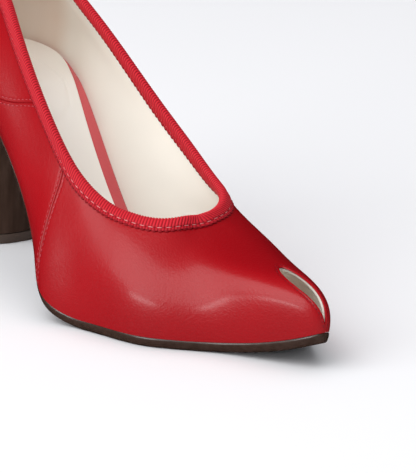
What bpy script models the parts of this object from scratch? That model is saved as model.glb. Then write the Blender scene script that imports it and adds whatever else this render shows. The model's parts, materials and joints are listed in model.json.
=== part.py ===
"""Peep toe pump on a block heel: a right shoe with a ribbon-bound collar.

Metres, +Z up, +X towards the toe, +Y to the shoe's inner (medial) side.
The origin is the centre of the heel's face on the floor.
The upper is a loft of ribs that run from the feather line, where it meets the
sole, up to the collar. Each rib is one row of the table RIBS.
"""

from collections import namedtuple
import math

import bpy
import numpy as np

# Sizes of the last
LENGTH = 0.228
BALL_WIDTH = 0.078
COLLAR_HEIGHT = 0.054
SEAT_HEIGHT = 0.068
HEEL_BACK = -0.020
SEAT_PITCH = 0.12
TOE_SPRING = 0.008

# Thicknesses and gaps
WALL = 0.0018
SOLE_THICKNESS = 0.0035
SOLE_BEVEL = 0.0010
INSOLE_THICKNESS = 0.0020
SOCK_THICKNESS = 0.0010
CLEARANCE = 0.0003

# The ribbon that binds the collar
BINDING_DEPTH = 0.0042
BINDING_THICKNESS = 0.0007

# The peep slit at the tip of the toe, a drop shape that leans inwards as it rises. Foot, top
# and settled are shares of the way up, and from settled up the columns stand evenly again
SLIT_WIDTH = 0.0056
SLIT_FOOT = 0.05
SLIT_TOP = 0.53
SLIT_SETTLED = 0.80
SLIT_OFFSET = -0.0030
SLIT_LEAN = 0.019
SLIT_REACH = 0.030
SLIT_RISE = 2.0
SLIT_FULLNESS = 0.45

# The heel and its top piece
HEEL_LENGTH = 0.036
HEEL_WIDTH = 0.035
HEEL_INSET = 0.0008
HEEL_SQUARENESS = 2.5
SEAT_OVERRUN = 0.002
TOP_PIECE_THICKNESS = 0.0040

# The sock stops short of the insole's edge, most of all on the inner side, where the red
# strip takes no more than a share of the width
SOCK_MARGIN = 0.0006
SOCK_STRIP = 0.0052
WIDEST_STRIP = 0.33

# Places along the length, as shares of it from the back of the heel
SEAT_AT = 0.10
BREAST_AT = 0.24
HEEL_BREAST_AT = 0.215
BALL_AT = 0.66
FLAT_TO = 0.82
STRIP_FROM = 0.10
STRIP_FULL = 0.50

# Mesh densities
COLUMNS = 96
STATIONS = 52
HEEL_POINTS = 48
ROWS_TO_SLIT_TOP = 8
ROWS_TO_BINDING = 4
RIB_SAMPLES = 81
OUTLINE_SAMPLES = 1440
VAMP_REACH = 0.030
STEP_UP = 0.004
SMALL = 0.001
SHARP_CORNER = 40

# A rib starts at along and side on the feather line and ends at top_along, top_side and
# top_up on the collar. foot_out and foot_up, top_out and top_down are the reach of its
# two handles. along and top_along are shares of LENGTH, top_up of COLLAR_HEIGHT, and the
# rest of BALL_WIDTH. Sides are negative on the outer (lateral) half. The top handle's
# direction is read over VAMP_REACH each way, so that the vamp stays smooth over the toe.
Rib = namedtuple(
    "Rib", "place along side top_along top_side top_up foot_out foot_up top_out top_down"
)
RIBS = (
    Rib("heel back", 0.00, 0.00, 0.015, 0.00, 1.00, 0.06, 0.28, 0.08, 0.30),
    Rib("outer heel round", 0.05, -0.24, 0.06, -0.18, 0.97, 0.06, 0.28, 0.07, 0.30),
    Rib("outer heel", 0.16, -0.335, 0.175, -0.19, 0.84, 0.065, 0.255, 0.065, 0.275),
    Rib("outer breast", 0.315, -0.375, 0.31, -0.25, 0.69, 0.075, 0.22, 0.08, 0.23),
    Rib("outer waist", 0.51, -0.47, 0.47, -0.315, 0.695, 0.015, 0.205, 0.01, 0.155),
    Rib("outer joint rear", 0.58, -0.54, 0.535, -0.31, 0.71, 0.015, 0.22, 0.04, 0.115),
    Rib("outer joint", 0.64, -0.475, 0.59, -0.29, 0.735, 0.03, 0.24, 0.10, 0.085),
    Rib("outer toe rear", 0.77, -0.345, 0.695, -0.185, 0.70, 0.05, 0.245, 0.14, 0.105),
    Rib("outer toe", 0.895, -0.05, 0.735, -0.04, 0.705, 0.06, 0.25, 0.165, 0.165),
    Rib("toe tip", 1.024, 0.21, 0.73, 0.065, 0.69, 0.055, 0.325, 0.255, 0.215),
    Rib("inner toe", 0.95, 0.32, 0.73, 0.115, 0.70, 0.065, 0.31, 0.26, 0.18),
    Rib("inner toe rear", 0.857, 0.415, 0.72, 0.195, 0.715, 0.07, 0.275, 0.215, 0.16),
    Rib("inner joint", 0.72, 0.465, 0.68, 0.295, 0.775, 0.07, 0.23, 0.125, 0.165),
    Rib("inner joint rear", 0.61, 0.205, 0.59, 0.325, 0.83, 0.095, 0.215, 0.04, 0.17),
    Rib("inner waist", 0.425, 0.14, 0.455, 0.29, 0.73, 0.11, 0.22, 0.01, 0.215),
    Rib("inner breast", 0.245, 0.245, 0.27, 0.217, 0.667, 0.085, 0.24, 0.07, 0.24),
    Rib("inner heel", 0.11, 0.325, 0.16, 0.24, 0.83, 0.06, 0.26, 0.055, 0.28),
    Rib("inner heel round", 0.015, 0.205, 0.05, 0.17, 0.97, 0.06, 0.28, 0.07, 0.30),
)
TOE_TIP = 9

# How far the heel's section has gone from the seat's outline to its floor outline,
# at a share of the way down
HeelSection = namedtuple("HeelSection", "down narrowed")
HEEL_SECTIONS = (
    HeelSection(0.00, 0.00),
    HeelSection(0.10, 0.30),
    HeelSection(0.24, 0.58),
    HeelSection(0.42, 0.80),
    HeelSection(0.66, 0.94),
    HeelSection(1.00, 1.00),
)

# Worked out from the sizes above
SOLE_STACK = SOLE_THICKNESS + CLEARANCE
UPWARDS = np.array([0.0, 0.0, 1.0])


def material(name, colour, roughness):
    """A Principled material of one colour."""
    made = bpy.data.materials.new(name)
    made.use_nodes = True
    shader = made.node_tree.nodes["Principled BSDF"]
    shader.inputs["Base Color"].default_value = (*colour, 1.0)
    shader.inputs["Roughness"].default_value = roughness
    made.diffuse_color = (*colour, 1.0)
    return made


def add_object(collection, name, points, faces, finish):
    """One named object from points and faces, shaded smooth with its corners kept sharp."""
    mesh = bpy.data.meshes.new(name)
    mesh.from_pydata([tuple(point) for point in points], [], faces)
    mesh.validate()
    mesh.shade_smooth()
    mesh.set_sharp_from_angle(angle=math.radians(SHARP_CORNER))
    mesh.materials.append(finish)
    made = bpy.data.objects.new(name, mesh)
    collection.objects.link(made)
    return made


def feather_height(x):
    """Height of the feather line at x: a pitched seat, a shank curve, a flat ball, a toe spring."""
    share = (np.asarray(x, float) - HEEL_BACK) / LENGTH
    seat_top = SEAT_HEIGHT + SOLE_STACK
    seat = seat_top - SEAT_PITCH * LENGTH * (share - SEAT_AT)
    breast_height = seat_top - SEAT_PITCH * LENGTH * (BREAST_AT - SEAT_AT)
    run = (BALL_AT - BREAST_AT) * LENGTH
    way = np.clip((share - BREAST_AT) / (BALL_AT - BREAST_AT), 0.0, 1.0)
    fall = 2 * way**3 - 3 * way**2 + 1
    start_slope = way**3 - 2 * way**2 + way
    shank = fall * breast_height - start_slope * run * SEAT_PITCH + (1 - fall) * SOLE_STACK
    lift = np.clip((share - FLAT_TO) / (1.0 - FLAT_TO), 0.0, None) ** 2
    forepart = SOLE_STACK + TOE_SPRING * lift
    return np.where(share < BREAST_AT, seat, np.where(share < BALL_AT, shank, forepart))


def closed_spline(knots, values, period, at):
    """A smooth closed curve through values at knots, read at the parameters at."""
    count = len(knots)
    spans = np.diff(np.append(knots, knots[0] + period))
    system = np.zeros((count, count))
    right = np.zeros(values.shape)
    for i in range(count):
        before, after = spans[i - 1], spans[i]
        following = (i + 1) % count
        system[i, i - 1] += before
        system[i, i] += 2 * (before + after)
        system[i, following] += after
        rise = (values[following] - values[i]) / after
        right[i] = 6 * (rise - (values[i] - values[i - 1]) / before)
    bends = np.linalg.solve(system, right)
    place = np.mod(np.asarray(at, float) - knots[0], period) + knots[0]
    low = np.clip(np.searchsorted(knots, place, side="right") - 1, 0, count - 1)
    high = (low + 1) % count
    span = spans[low][:, None]
    ahead = (place - knots[low])[:, None]
    behind = span - ahead
    return (
        (bends[low] * behind**3 + bends[high] * ahead**3) / (6 * span)
        + (values[low] / span - bends[low] * span / 6) * behind
        + (values[high] / span - bends[high] * span / 6) * ahead
    )


def rib_values():
    """The table's rows in metres, with the knots of the feather line and its length round."""
    table = np.array([rib[1:] for rib in RIBS])
    sizes = np.array([LENGTH, BALL_WIDTH, LENGTH, BALL_WIDTH, COLLAR_HEIGHT] + [BALL_WIDTH] * 4)
    values = table * sizes
    values[:, [0, 2]] += HEEL_BACK
    chords = np.linalg.norm(np.roll(values[:, :2], -1, axis=0) - values[:, :2], axis=1)
    knots = np.concatenate([[0.0], np.cumsum(chords)[:-1]])
    return values, knots, chords.sum()


RIB_VALUES, KNOTS, ROUND = rib_values()


def outward_at(at, reach):
    """Level directions out of the shoe, square to the feather line's run over reach each way."""
    ahead = closed_spline(KNOTS, RIB_VALUES, ROUND, np.asarray(at) + reach)[:, :2]
    behind = closed_spline(KNOTS, RIB_VALUES, ROUND, np.asarray(at) - reach)[:, :2]
    along = ahead - behind
    outward = np.stack([along[:, 1], -along[:, 0], np.zeros(len(along))], axis=1)
    return outward / np.linalg.norm(outward, axis=1)[:, None]


def rib_controls(at):
    """The four control points of the ribs at the places at round the shoe."""
    columns = closed_spline(KNOTS, RIB_VALUES, ROUND, at)
    foot_outward = outward_at(at, ROUND / OUTLINE_SAMPLES)
    top_outward = outward_at(at, VAMP_REACH)
    foot = np.column_stack([columns[:, :2], feather_height(columns[:, 0])])
    top = np.column_stack([columns[:, 2:4], feather_height(columns[:, 2]) + columns[:, 4]])
    low = foot + foot_outward * columns[:, 5:6] + UPWARDS * columns[:, 6:7]
    high = top + top_outward * columns[:, 7:8] - UPWARDS * columns[:, 8:9]
    return foot, low, high, top


def surface(at, up):
    """Points on the outside of the upper, at a place round it and a share of the way up."""
    foot, low, high, top = rib_controls(at)
    share = np.asarray(up, float)[:, None]
    rest = 1.0 - share
    return (
        rest**3 * foot
        + 3 * rest**2 * share * low
        + 3 * rest * share**2 * high
        + share**3 * top
    )


def surface_frame(at, up):
    """Points on the outside of the upper, their outward normals and their way up the rib."""
    step_round = ROUND / OUTLINE_SAMPLES
    at = np.asarray(at, float)
    up = np.asarray(up, float)
    point = surface(at, up)
    along = surface(at + step_round, up) - surface(at - step_round, up)
    upward = surface(at, up + STEP_UP) - surface(at, up - STEP_UP)
    normal = np.cross(along, upward)
    normal /= np.linalg.norm(normal, axis=1)[:, None]
    upward /= np.linalg.norm(upward, axis=1)[:, None]
    return point, normal, upward


def share_below_collar(at, distance):
    """The share up each rib that lies distance below its top end."""
    shares = np.linspace(0.0, 1.0, RIB_SAMPLES)
    found = []
    for place in at:
        points = surface(np.full(len(shares), place), shares)
        steps = np.linalg.norm(np.diff(points, axis=0), axis=1)
        below = np.concatenate([np.cumsum(steps[::-1])[::-1], [0.0]])
        found.append(np.interp(distance, below[::-1], shares[::-1]))
    return np.array(found)


def slit_place():
    """The place round the shoe where the slit's middle line starts."""
    return KNOTS[TOE_TIP] + SLIT_OFFSET


def slit_lean(up):
    """How far the slit's middle line has moved inwards at a share of the way up."""
    settling = np.clip((SLIT_SETTLED - up) / (SLIT_SETTLED - SLIT_TOP), 0.0, 1.0)
    return SLIT_LEAN * np.minimum(up, SLIT_TOP) ** 2 * settling


def slit_half_width(up):
    """Half the slit's width at a share of the way up, nothing outside the slit."""
    way = np.clip((up - SLIT_FOOT) / (SLIT_TOP - SLIT_FOOT), 0.0, 1.0) ** SLIT_RISE
    return 0.5 * SLIT_WIDTH * np.sin(math.pi * way) ** SLIT_FULLNESS


def beside_slit(at, up, side):
    """Places round the shoe moved aside so that the columns part around the slit."""
    from_slit = at - slit_place()
    edge = slit_lean(up) + side * slit_half_width(up)
    near = np.abs(from_slit) < SLIT_REACH
    squeezed = slit_place() + edge + from_slit * (1.0 - side * edge / SLIT_REACH)
    return np.where(near, squeezed, at)


def column_offsets():
    """Each column's place less the slit's, from minus to plus half the way round."""
    steps = np.arange(COLUMNS)
    steps = np.where(steps > COLUMNS // 2, steps - COLUMNS, steps)
    return steps * ROUND / COLUMNS


def row_shares(places):
    """The upper's rows from sole to collar, as a list of shares up each column."""
    leg = share_below_collar(places, BINDING_DEPTH)
    middle = share_below_collar(places, BINDING_DEPTH / 2)
    slit_steps = np.linspace(SLIT_FOOT, SLIT_TOP, ROWS_TO_SLIT_TOP)
    rows = [np.zeros(COLUMNS)]
    rows += [np.full(COLUMNS, step) for step in slit_steps]
    for step in range(1, ROWS_TO_BINDING + 1):
        rows.append(SLIT_TOP + (leg - SLIT_TOP) * step / ROWS_TO_BINDING)
    rows += [middle, np.ones(COLUMNS)]
    return rows


def build_upper(collection, finish):
    """The upper as an open loft with its slit, given its wall by Solidify."""
    offsets = column_offsets()
    places = slit_place() + offsets
    rows = row_shares(places)
    points = []
    left = []
    right = []
    for shares in rows:
        side = np.where(offsets < 0, -1.0, 1.0)
        row = surface(beside_slit(places, shares, side), shares)
        start = len(points)
        points += list(row)
        right.append(list(range(start, start + COLUMNS)))
        left.append(list(right[-1]))
        if slit_half_width(shares[0]) > CLEARANCE and SLIT_FOOT < shares[0] < SLIT_TOP:
            split = surface(beside_slit(places[:1], shares[:1], -1.0), shares[:1])
            left[-1][0] = len(points)
            points += list(split)
    faces = []
    for low in range(len(rows) - 1):
        for column in range(COLUMNS):
            following = (column + 1) % COLUMNS
            ends = left if following == 0 else right
            faces.append(
                (
                    right[low][column],
                    ends[low][following],
                    ends[low + 1][following],
                    right[low + 1][column],
                )
            )
    upper = add_object(collection, "upper", points, faces, finish)
    wall = upper.modifiers.new("wall", "SOLIDIFY")
    wall.thickness = WALL
    wall.offset = -1.0
    return upper


def binding_section(places):
    """Rings of the ribbon's folded section, one array of points for each corner of it."""
    leg = share_below_collar(places, BINDING_DEPTH)
    middle = share_below_collar(places, BINDING_DEPTH / 2)
    top = np.ones(len(places))
    frames = [surface_frame(places, share) for share in (leg, middle, top)]
    outside = CLEARANCE + BINDING_THICKNESS
    inside = WALL + CLEARANCE
    edge, across, upward = frames[2]
    middle_of_wall = edge - across * WALL / 2
    corners = [point + normal * outside for point, normal, _ in frames]
    for degrees in (45, 90, 135):
        turn = math.radians(degrees)
        round_top = across * math.cos(turn) + upward * math.sin(turn)
        corners.append(middle_of_wall + round_top * (WALL / 2 + outside))
    for point, normal, _ in reversed(frames):
        corners.append(point - normal * (inside + BINDING_THICKNESS))
    for point, normal, _ in frames[:2]:
        corners.append(point - normal * inside)
    corners.append(edge - across * inside + upward * CLEARANCE)
    corners.append(edge + across * CLEARANCE + upward * CLEARANCE)
    for point, normal, _ in reversed(frames[:2]):
        corners.append(point + normal * CLEARANCE)
    return corners


def build_binding(collection, finish):
    """The ribbon folded over the collar's edge, all the way round."""
    corners = binding_section(slit_place() + column_offsets())
    points = [corner[column] for column in range(COLUMNS) for corner in corners]
    count = len(corners)
    faces = []
    for column in range(COLUMNS):
        start = column * count
        ahead = (column + 1) % COLUMNS * count
        for corner in range(count):
            following = (corner + 1) % count
            faces.append((start + corner, ahead + corner, ahead + following, start + following))
    return add_object(collection, "collar_binding", points, faces, finish)


def outline(inset):
    """The feather line's two sides, moved inwards, as heights of y over rising x."""
    at = np.arange(OUTLINE_SAMPLES) * ROUND / OUTLINE_SAMPLES
    line = closed_spline(KNOTS, RIB_VALUES, ROUND, at)[:, :2]
    along = np.roll(line, -1, axis=0) - np.roll(line, 1, axis=0)
    inward = np.stack([-along[:, 1], along[:, 0]], axis=1)
    inward /= np.linalg.norm(inward, axis=1)[:, None]
    line = line + inward * inset
    line = np.roll(line, -int(np.argmin(line[:, 0])), axis=0)
    tip = int(np.argmax(line[:, 0]))
    outer = line[: tip + 1]
    inner = np.vstack([line[tip:], line[:1]])[::-1]
    return outer, inner


def side_at(side, x):
    """The y of one side of an outline at x."""
    return np.interp(x, np.maximum.accumulate(side[:, 0]), side[:, 1])


def cross_lines(inset, strip=0.0):
    """Stations along an outline: x, the outer y and the inner y, which a strip narrows."""
    outer, inner = outline(inset)
    shares = 0.5 * (1.0 - np.cos(np.linspace(0.0, math.pi, STATIONS + 1)))
    x = outer[0, 0] + (outer[-1, 0] - outer[0, 0]) * shares
    outer_y = side_at(outer, x)
    inner_y = side_at(inner, x)
    along = (x - HEEL_BACK) / LENGTH
    way = np.clip((along - STRIP_FROM) / (STRIP_FULL - STRIP_FROM), 0.0, 1.0)
    room = inner_y - outer_y
    narrowing = np.minimum(strip * way * way * (3 - 2 * way), room * WIDEST_STRIP)
    return x, outer_y, inner_y - narrowing


def build_plate(collection, name, finish, upper_line, lower_line, top, thickness):
    """A plate that follows the feather line: a station is one level line across it."""
    points = []
    faces = []
    rings = []
    last = STATIONS
    for line, drop in ((upper_line, 0.0), (lower_line, thickness)):
        x, outer_y, inner_y = line
        z = feather_height(x) + top - drop
        ring = []
        for i in range(STATIONS + 1):
            ring.append((len(points), len(points) + (0 if i in (0, last) else 1)))
            points.append((x[i], outer_y[i], z[i]))
            if i not in (0, last):
                points.append((x[i], inner_y[i], z[i]))
        rings.append(ring)
    over, under = rings
    for i in range(STATIONS):
        quads = (
            (over[i][0], over[i + 1][0], over[i + 1][1], over[i][1]),
            (under[i][0], under[i][1], under[i + 1][1], under[i + 1][0]),
            (under[i][0], under[i + 1][0], over[i + 1][0], over[i][0]),
            (over[i][1], over[i + 1][1], under[i + 1][1], under[i][1]),
        )
        for quad in quads:
            face = [corner for k, corner in enumerate(quad) if corner != quad[k - 1]]
            faces.append(tuple(face))
    return add_object(collection, name, points, faces, finish)


def build_outsole(collection, finish):
    """The outsole, with its edge drawn in towards the floor."""
    return build_plate(
        collection,
        "outsole",
        finish,
        cross_lines(0.0),
        cross_lines(SOLE_BEVEL),
        -CLEARANCE,
        SOLE_THICKNESS,
    )


def build_insole(collection, finish):
    """The insole, inside the upper's wall."""
    line = cross_lines(WALL + CLEARANCE)
    return build_plate(
        collection, "insole", finish, line, line, INSOLE_THICKNESS, INSOLE_THICKNESS
    )


def build_sock(collection, finish):
    """The sock on the insole, narrower on the inner side."""
    line = cross_lines(WALL + CLEARANCE + SOCK_MARGIN, SOCK_STRIP)
    top = INSOLE_THICKNESS + CLEARANCE + SOCK_THICKNESS
    return build_plate(collection, "sock", finish, line, line, top, SOCK_THICKNESS)


def floor_section(angles):
    """The heel's outline on the floor, a rounded rectangle about the origin."""
    power = 2.0 / HEEL_SQUARENESS
    x = np.sign(np.cos(angles)) * np.abs(np.cos(angles)) ** power * HEEL_LENGTH / 2
    y = np.sign(np.sin(angles)) * np.abs(np.sin(angles)) ** power * HEEL_WIDTH / 2
    return np.stack([x, y], axis=1)


def seat_section(angles):
    """The heel's outline under the seat, cut straight at the breast."""
    outer, inner = outline(SOLE_BEVEL + HEEL_INSET)
    breast = HEEL_BACK + HEEL_BREAST_AT * LENGTH
    middle = np.array([(outer[0, 0] + breast) / 2, 0.0])
    rim = np.vstack([outer, inner[::-1]]) - middle
    rim = rim[rim[:, 0] < breast - middle[0] + SEAT_OVERRUN]
    bearing = np.unwrap(np.arctan2(rim[:, 1], rim[:, 0]))
    order = np.argsort(np.mod(bearing, 2 * math.pi))
    bearing = np.mod(bearing, 2 * math.pi)[order]
    reach = np.linalg.norm(rim, axis=1)[order]
    found = np.interp(np.mod(angles, 2 * math.pi), bearing, reach, period=2 * math.pi)
    ahead = np.maximum(np.cos(angles), SMALL)
    front = (breast - middle[0]) / ahead
    found = np.minimum(found, front)
    return middle + np.stack([np.cos(angles), np.sin(angles)], axis=1) * found[:, None]


def build_heel(collection, finish):
    """The heel, lofted from the seat's outline down to its outline on the top piece."""
    angles = np.linspace(0.0, 2 * math.pi, HEEL_POINTS, endpoint=False)
    seat = seat_section(angles)
    floor = floor_section(angles)
    foot = TOP_PIECE_THICKNESS + CLEARANCE
    points = []
    for section in HEEL_SECTIONS:
        ring = seat + (floor - seat) * section.narrowed
        head = feather_height(ring[:, 0]) - SOLE_STACK - CLEARANCE
        height = head + (foot - head) * section.down
        points += list(np.column_stack([ring, height]))
    faces = [tuple(range(HEEL_POINTS))]
    for ring in range(len(HEEL_SECTIONS) - 1):
        for i in range(HEEL_POINTS):
            following = (i + 1) % HEEL_POINTS
            over = ring * HEEL_POINTS
            under = over + HEEL_POINTS
            faces.append((over + following, over + i, under + i, under + following))
    last = len(points) - HEEL_POINTS
    faces.append(tuple(reversed(range(last, len(points)))))
    return add_object(collection, "heel", points, faces, finish)


def build_top_piece(collection, finish):
    """The top piece, the flat lift that the heel stands on."""
    angles = np.linspace(0.0, 2 * math.pi, HEEL_POINTS, endpoint=False)
    outline_curve = bpy.data.curves.new("top_piece", "CURVE")
    outline_curve.dimensions = "2D"
    outline_curve.fill_mode = "BOTH"
    outline_curve.extrude = TOP_PIECE_THICKNESS / 2
    spline = outline_curve.splines.new("POLY")
    spline.points.add(HEEL_POINTS - 1)
    for point, (x, y) in zip(spline.points, floor_section(angles)):
        point.co = (x, y, 0.0, 1.0)
    spline.use_cyclic_u = True
    outline_curve.materials.append(finish)
    made = bpy.data.objects.new("top_piece", outline_curve)
    made.location.z = TOP_PIECE_THICKNESS / 2
    collection.objects.link(made)
    return made


def build_shoe():
    """Clear the scene and build every piece of the shoe."""
    for old in list(bpy.data.objects):
        bpy.data.objects.remove(old)
    shoe = bpy.data.collections.new("peep_toe_pump")
    bpy.context.scene.collection.children.link(shoe)
    red_leather = material("red_leather", (0.48, 0.012, 0.018), 0.35)
    red_ribbon = material("red_ribbon", (0.42, 0.012, 0.022), 0.75)
    cream_leather = material("cream_leather", (0.80, 0.74, 0.64), 0.55)
    brown_leather = material("brown_leather", (0.035, 0.016, 0.011), 0.40)
    brown_rubber = material("brown_rubber", (0.055, 0.030, 0.022), 0.45)
    build_upper(shoe, red_leather)
    build_binding(shoe, red_ribbon)
    build_insole(shoe, red_leather)
    build_sock(shoe, cream_leather)
    build_outsole(shoe, brown_leather)
    build_heel(shoe, brown_leather)
    build_top_piece(shoe, brown_rubber)


build_shoe()
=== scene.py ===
"""The looks of a right peep toe pump: leather panels, lining, ribbon, stitches, soles and heel.

Metres, +Z up, +X towards the toe, +Y to the shoe's inner side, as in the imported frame.
The fine surfaces follow the same last as the solids: a loft of ribs that run from the
feather line, where the upper meets the sole, up to the collar. A place on the upper is
given by a rib number, which runs once round the shoe from the heel's back, and by a
share of the way up the rib.
"""

import functools
import json
import logging
import math
from dataclasses import dataclass, field
from enum import Enum
from typing import NamedTuple

import bpy
import numpy as np
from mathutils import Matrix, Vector

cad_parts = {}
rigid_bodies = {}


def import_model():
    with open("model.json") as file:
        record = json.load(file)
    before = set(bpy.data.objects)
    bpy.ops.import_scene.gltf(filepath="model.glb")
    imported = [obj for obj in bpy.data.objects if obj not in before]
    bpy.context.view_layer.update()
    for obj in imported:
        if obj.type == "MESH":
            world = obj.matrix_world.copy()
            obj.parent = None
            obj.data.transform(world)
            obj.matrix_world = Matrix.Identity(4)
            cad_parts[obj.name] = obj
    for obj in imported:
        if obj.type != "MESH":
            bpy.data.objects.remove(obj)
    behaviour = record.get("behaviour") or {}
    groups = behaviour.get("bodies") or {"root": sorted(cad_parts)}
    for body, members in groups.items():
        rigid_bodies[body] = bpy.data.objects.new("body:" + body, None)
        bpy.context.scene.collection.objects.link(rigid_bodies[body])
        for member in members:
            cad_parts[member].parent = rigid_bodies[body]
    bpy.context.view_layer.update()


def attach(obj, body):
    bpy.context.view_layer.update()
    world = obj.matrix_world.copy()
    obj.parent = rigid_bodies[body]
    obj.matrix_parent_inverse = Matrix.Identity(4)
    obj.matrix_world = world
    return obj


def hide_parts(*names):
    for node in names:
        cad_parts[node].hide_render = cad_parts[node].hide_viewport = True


log = logging.getLogger("peep_toe_pump")

IMAGE_WIDTH = 416
IMAGE_HEIGHT = 473
UPWARDS = np.array([0.0, 0.0, 1.0])
SHARP_CORNER = math.radians(38)

Colour = tuple[float, float, float]
Finishes = dict[str, bpy.types.Material]
Material = bpy.types.Material
Object = bpy.types.Object
Socket = bpy.types.NodeSocket


class Rib(NamedTuple):
    """One rib of the last, from the feather line to the collar.

    along and top_along are shares of the length, top_up of the collar's height, and the
    rest are shares of the ball's width. Sides are negative on the outer half.
    """

    place: str
    along: float
    side: float
    top_along: float
    top_side: float
    top_up: float
    foot_out: float
    foot_up: float
    top_out: float
    top_down: float


RIBS = (
    Rib("heel back", 0.00, 0.00, 0.015, 0.00, 1.00, 0.06, 0.28, 0.08, 0.30),
    Rib("outer heel round", 0.05, -0.24, 0.06, -0.18, 0.97, 0.06, 0.28, 0.07, 0.30),
    Rib("outer heel", 0.16, -0.335, 0.175, -0.19, 0.84, 0.065, 0.255, 0.065, 0.275),
    Rib("outer breast", 0.315, -0.375, 0.31, -0.25, 0.69, 0.075, 0.22, 0.08, 0.23),
    Rib("outer waist", 0.51, -0.47, 0.47, -0.315, 0.695, 0.015, 0.205, 0.01, 0.155),
    Rib("outer joint rear", 0.58, -0.54, 0.535, -0.31, 0.71, 0.015, 0.22, 0.04, 0.115),
    Rib("outer joint", 0.64, -0.475, 0.59, -0.29, 0.735, 0.03, 0.24, 0.10, 0.085),
    Rib("outer toe rear", 0.77, -0.345, 0.695, -0.185, 0.70, 0.05, 0.245, 0.14, 0.105),
    Rib("outer toe", 0.895, -0.05, 0.735, -0.04, 0.705, 0.06, 0.25, 0.165, 0.165),
    Rib("toe tip", 1.024, 0.21, 0.73, 0.065, 0.69, 0.055, 0.325, 0.255, 0.215),
    Rib("inner toe", 0.95, 0.32, 0.73, 0.115, 0.70, 0.065, 0.31, 0.26, 0.18),
    Rib("inner toe rear", 0.857, 0.415, 0.72, 0.195, 0.715, 0.07, 0.275, 0.215, 0.16),
    Rib("inner joint", 0.72, 0.465, 0.68, 0.295, 0.775, 0.07, 0.23, 0.125, 0.165),
    Rib("inner joint rear", 0.61, 0.205, 0.59, 0.325, 0.83, 0.095, 0.215, 0.04, 0.17),
    Rib("inner waist", 0.425, 0.14, 0.455, 0.29, 0.73, 0.11, 0.22, 0.01, 0.215),
    Rib("inner breast", 0.245, 0.245, 0.27, 0.217, 0.667, 0.085, 0.24, 0.07, 0.24),
    Rib("inner heel", 0.11, 0.325, 0.16, 0.24, 0.83, 0.06, 0.26, 0.055, 0.28),
    Rib("inner heel round", 0.015, 0.205, 0.05, 0.17, 0.97, 0.06, 0.28, 0.07, 0.30),
)
TOE_TIP = 9


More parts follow.
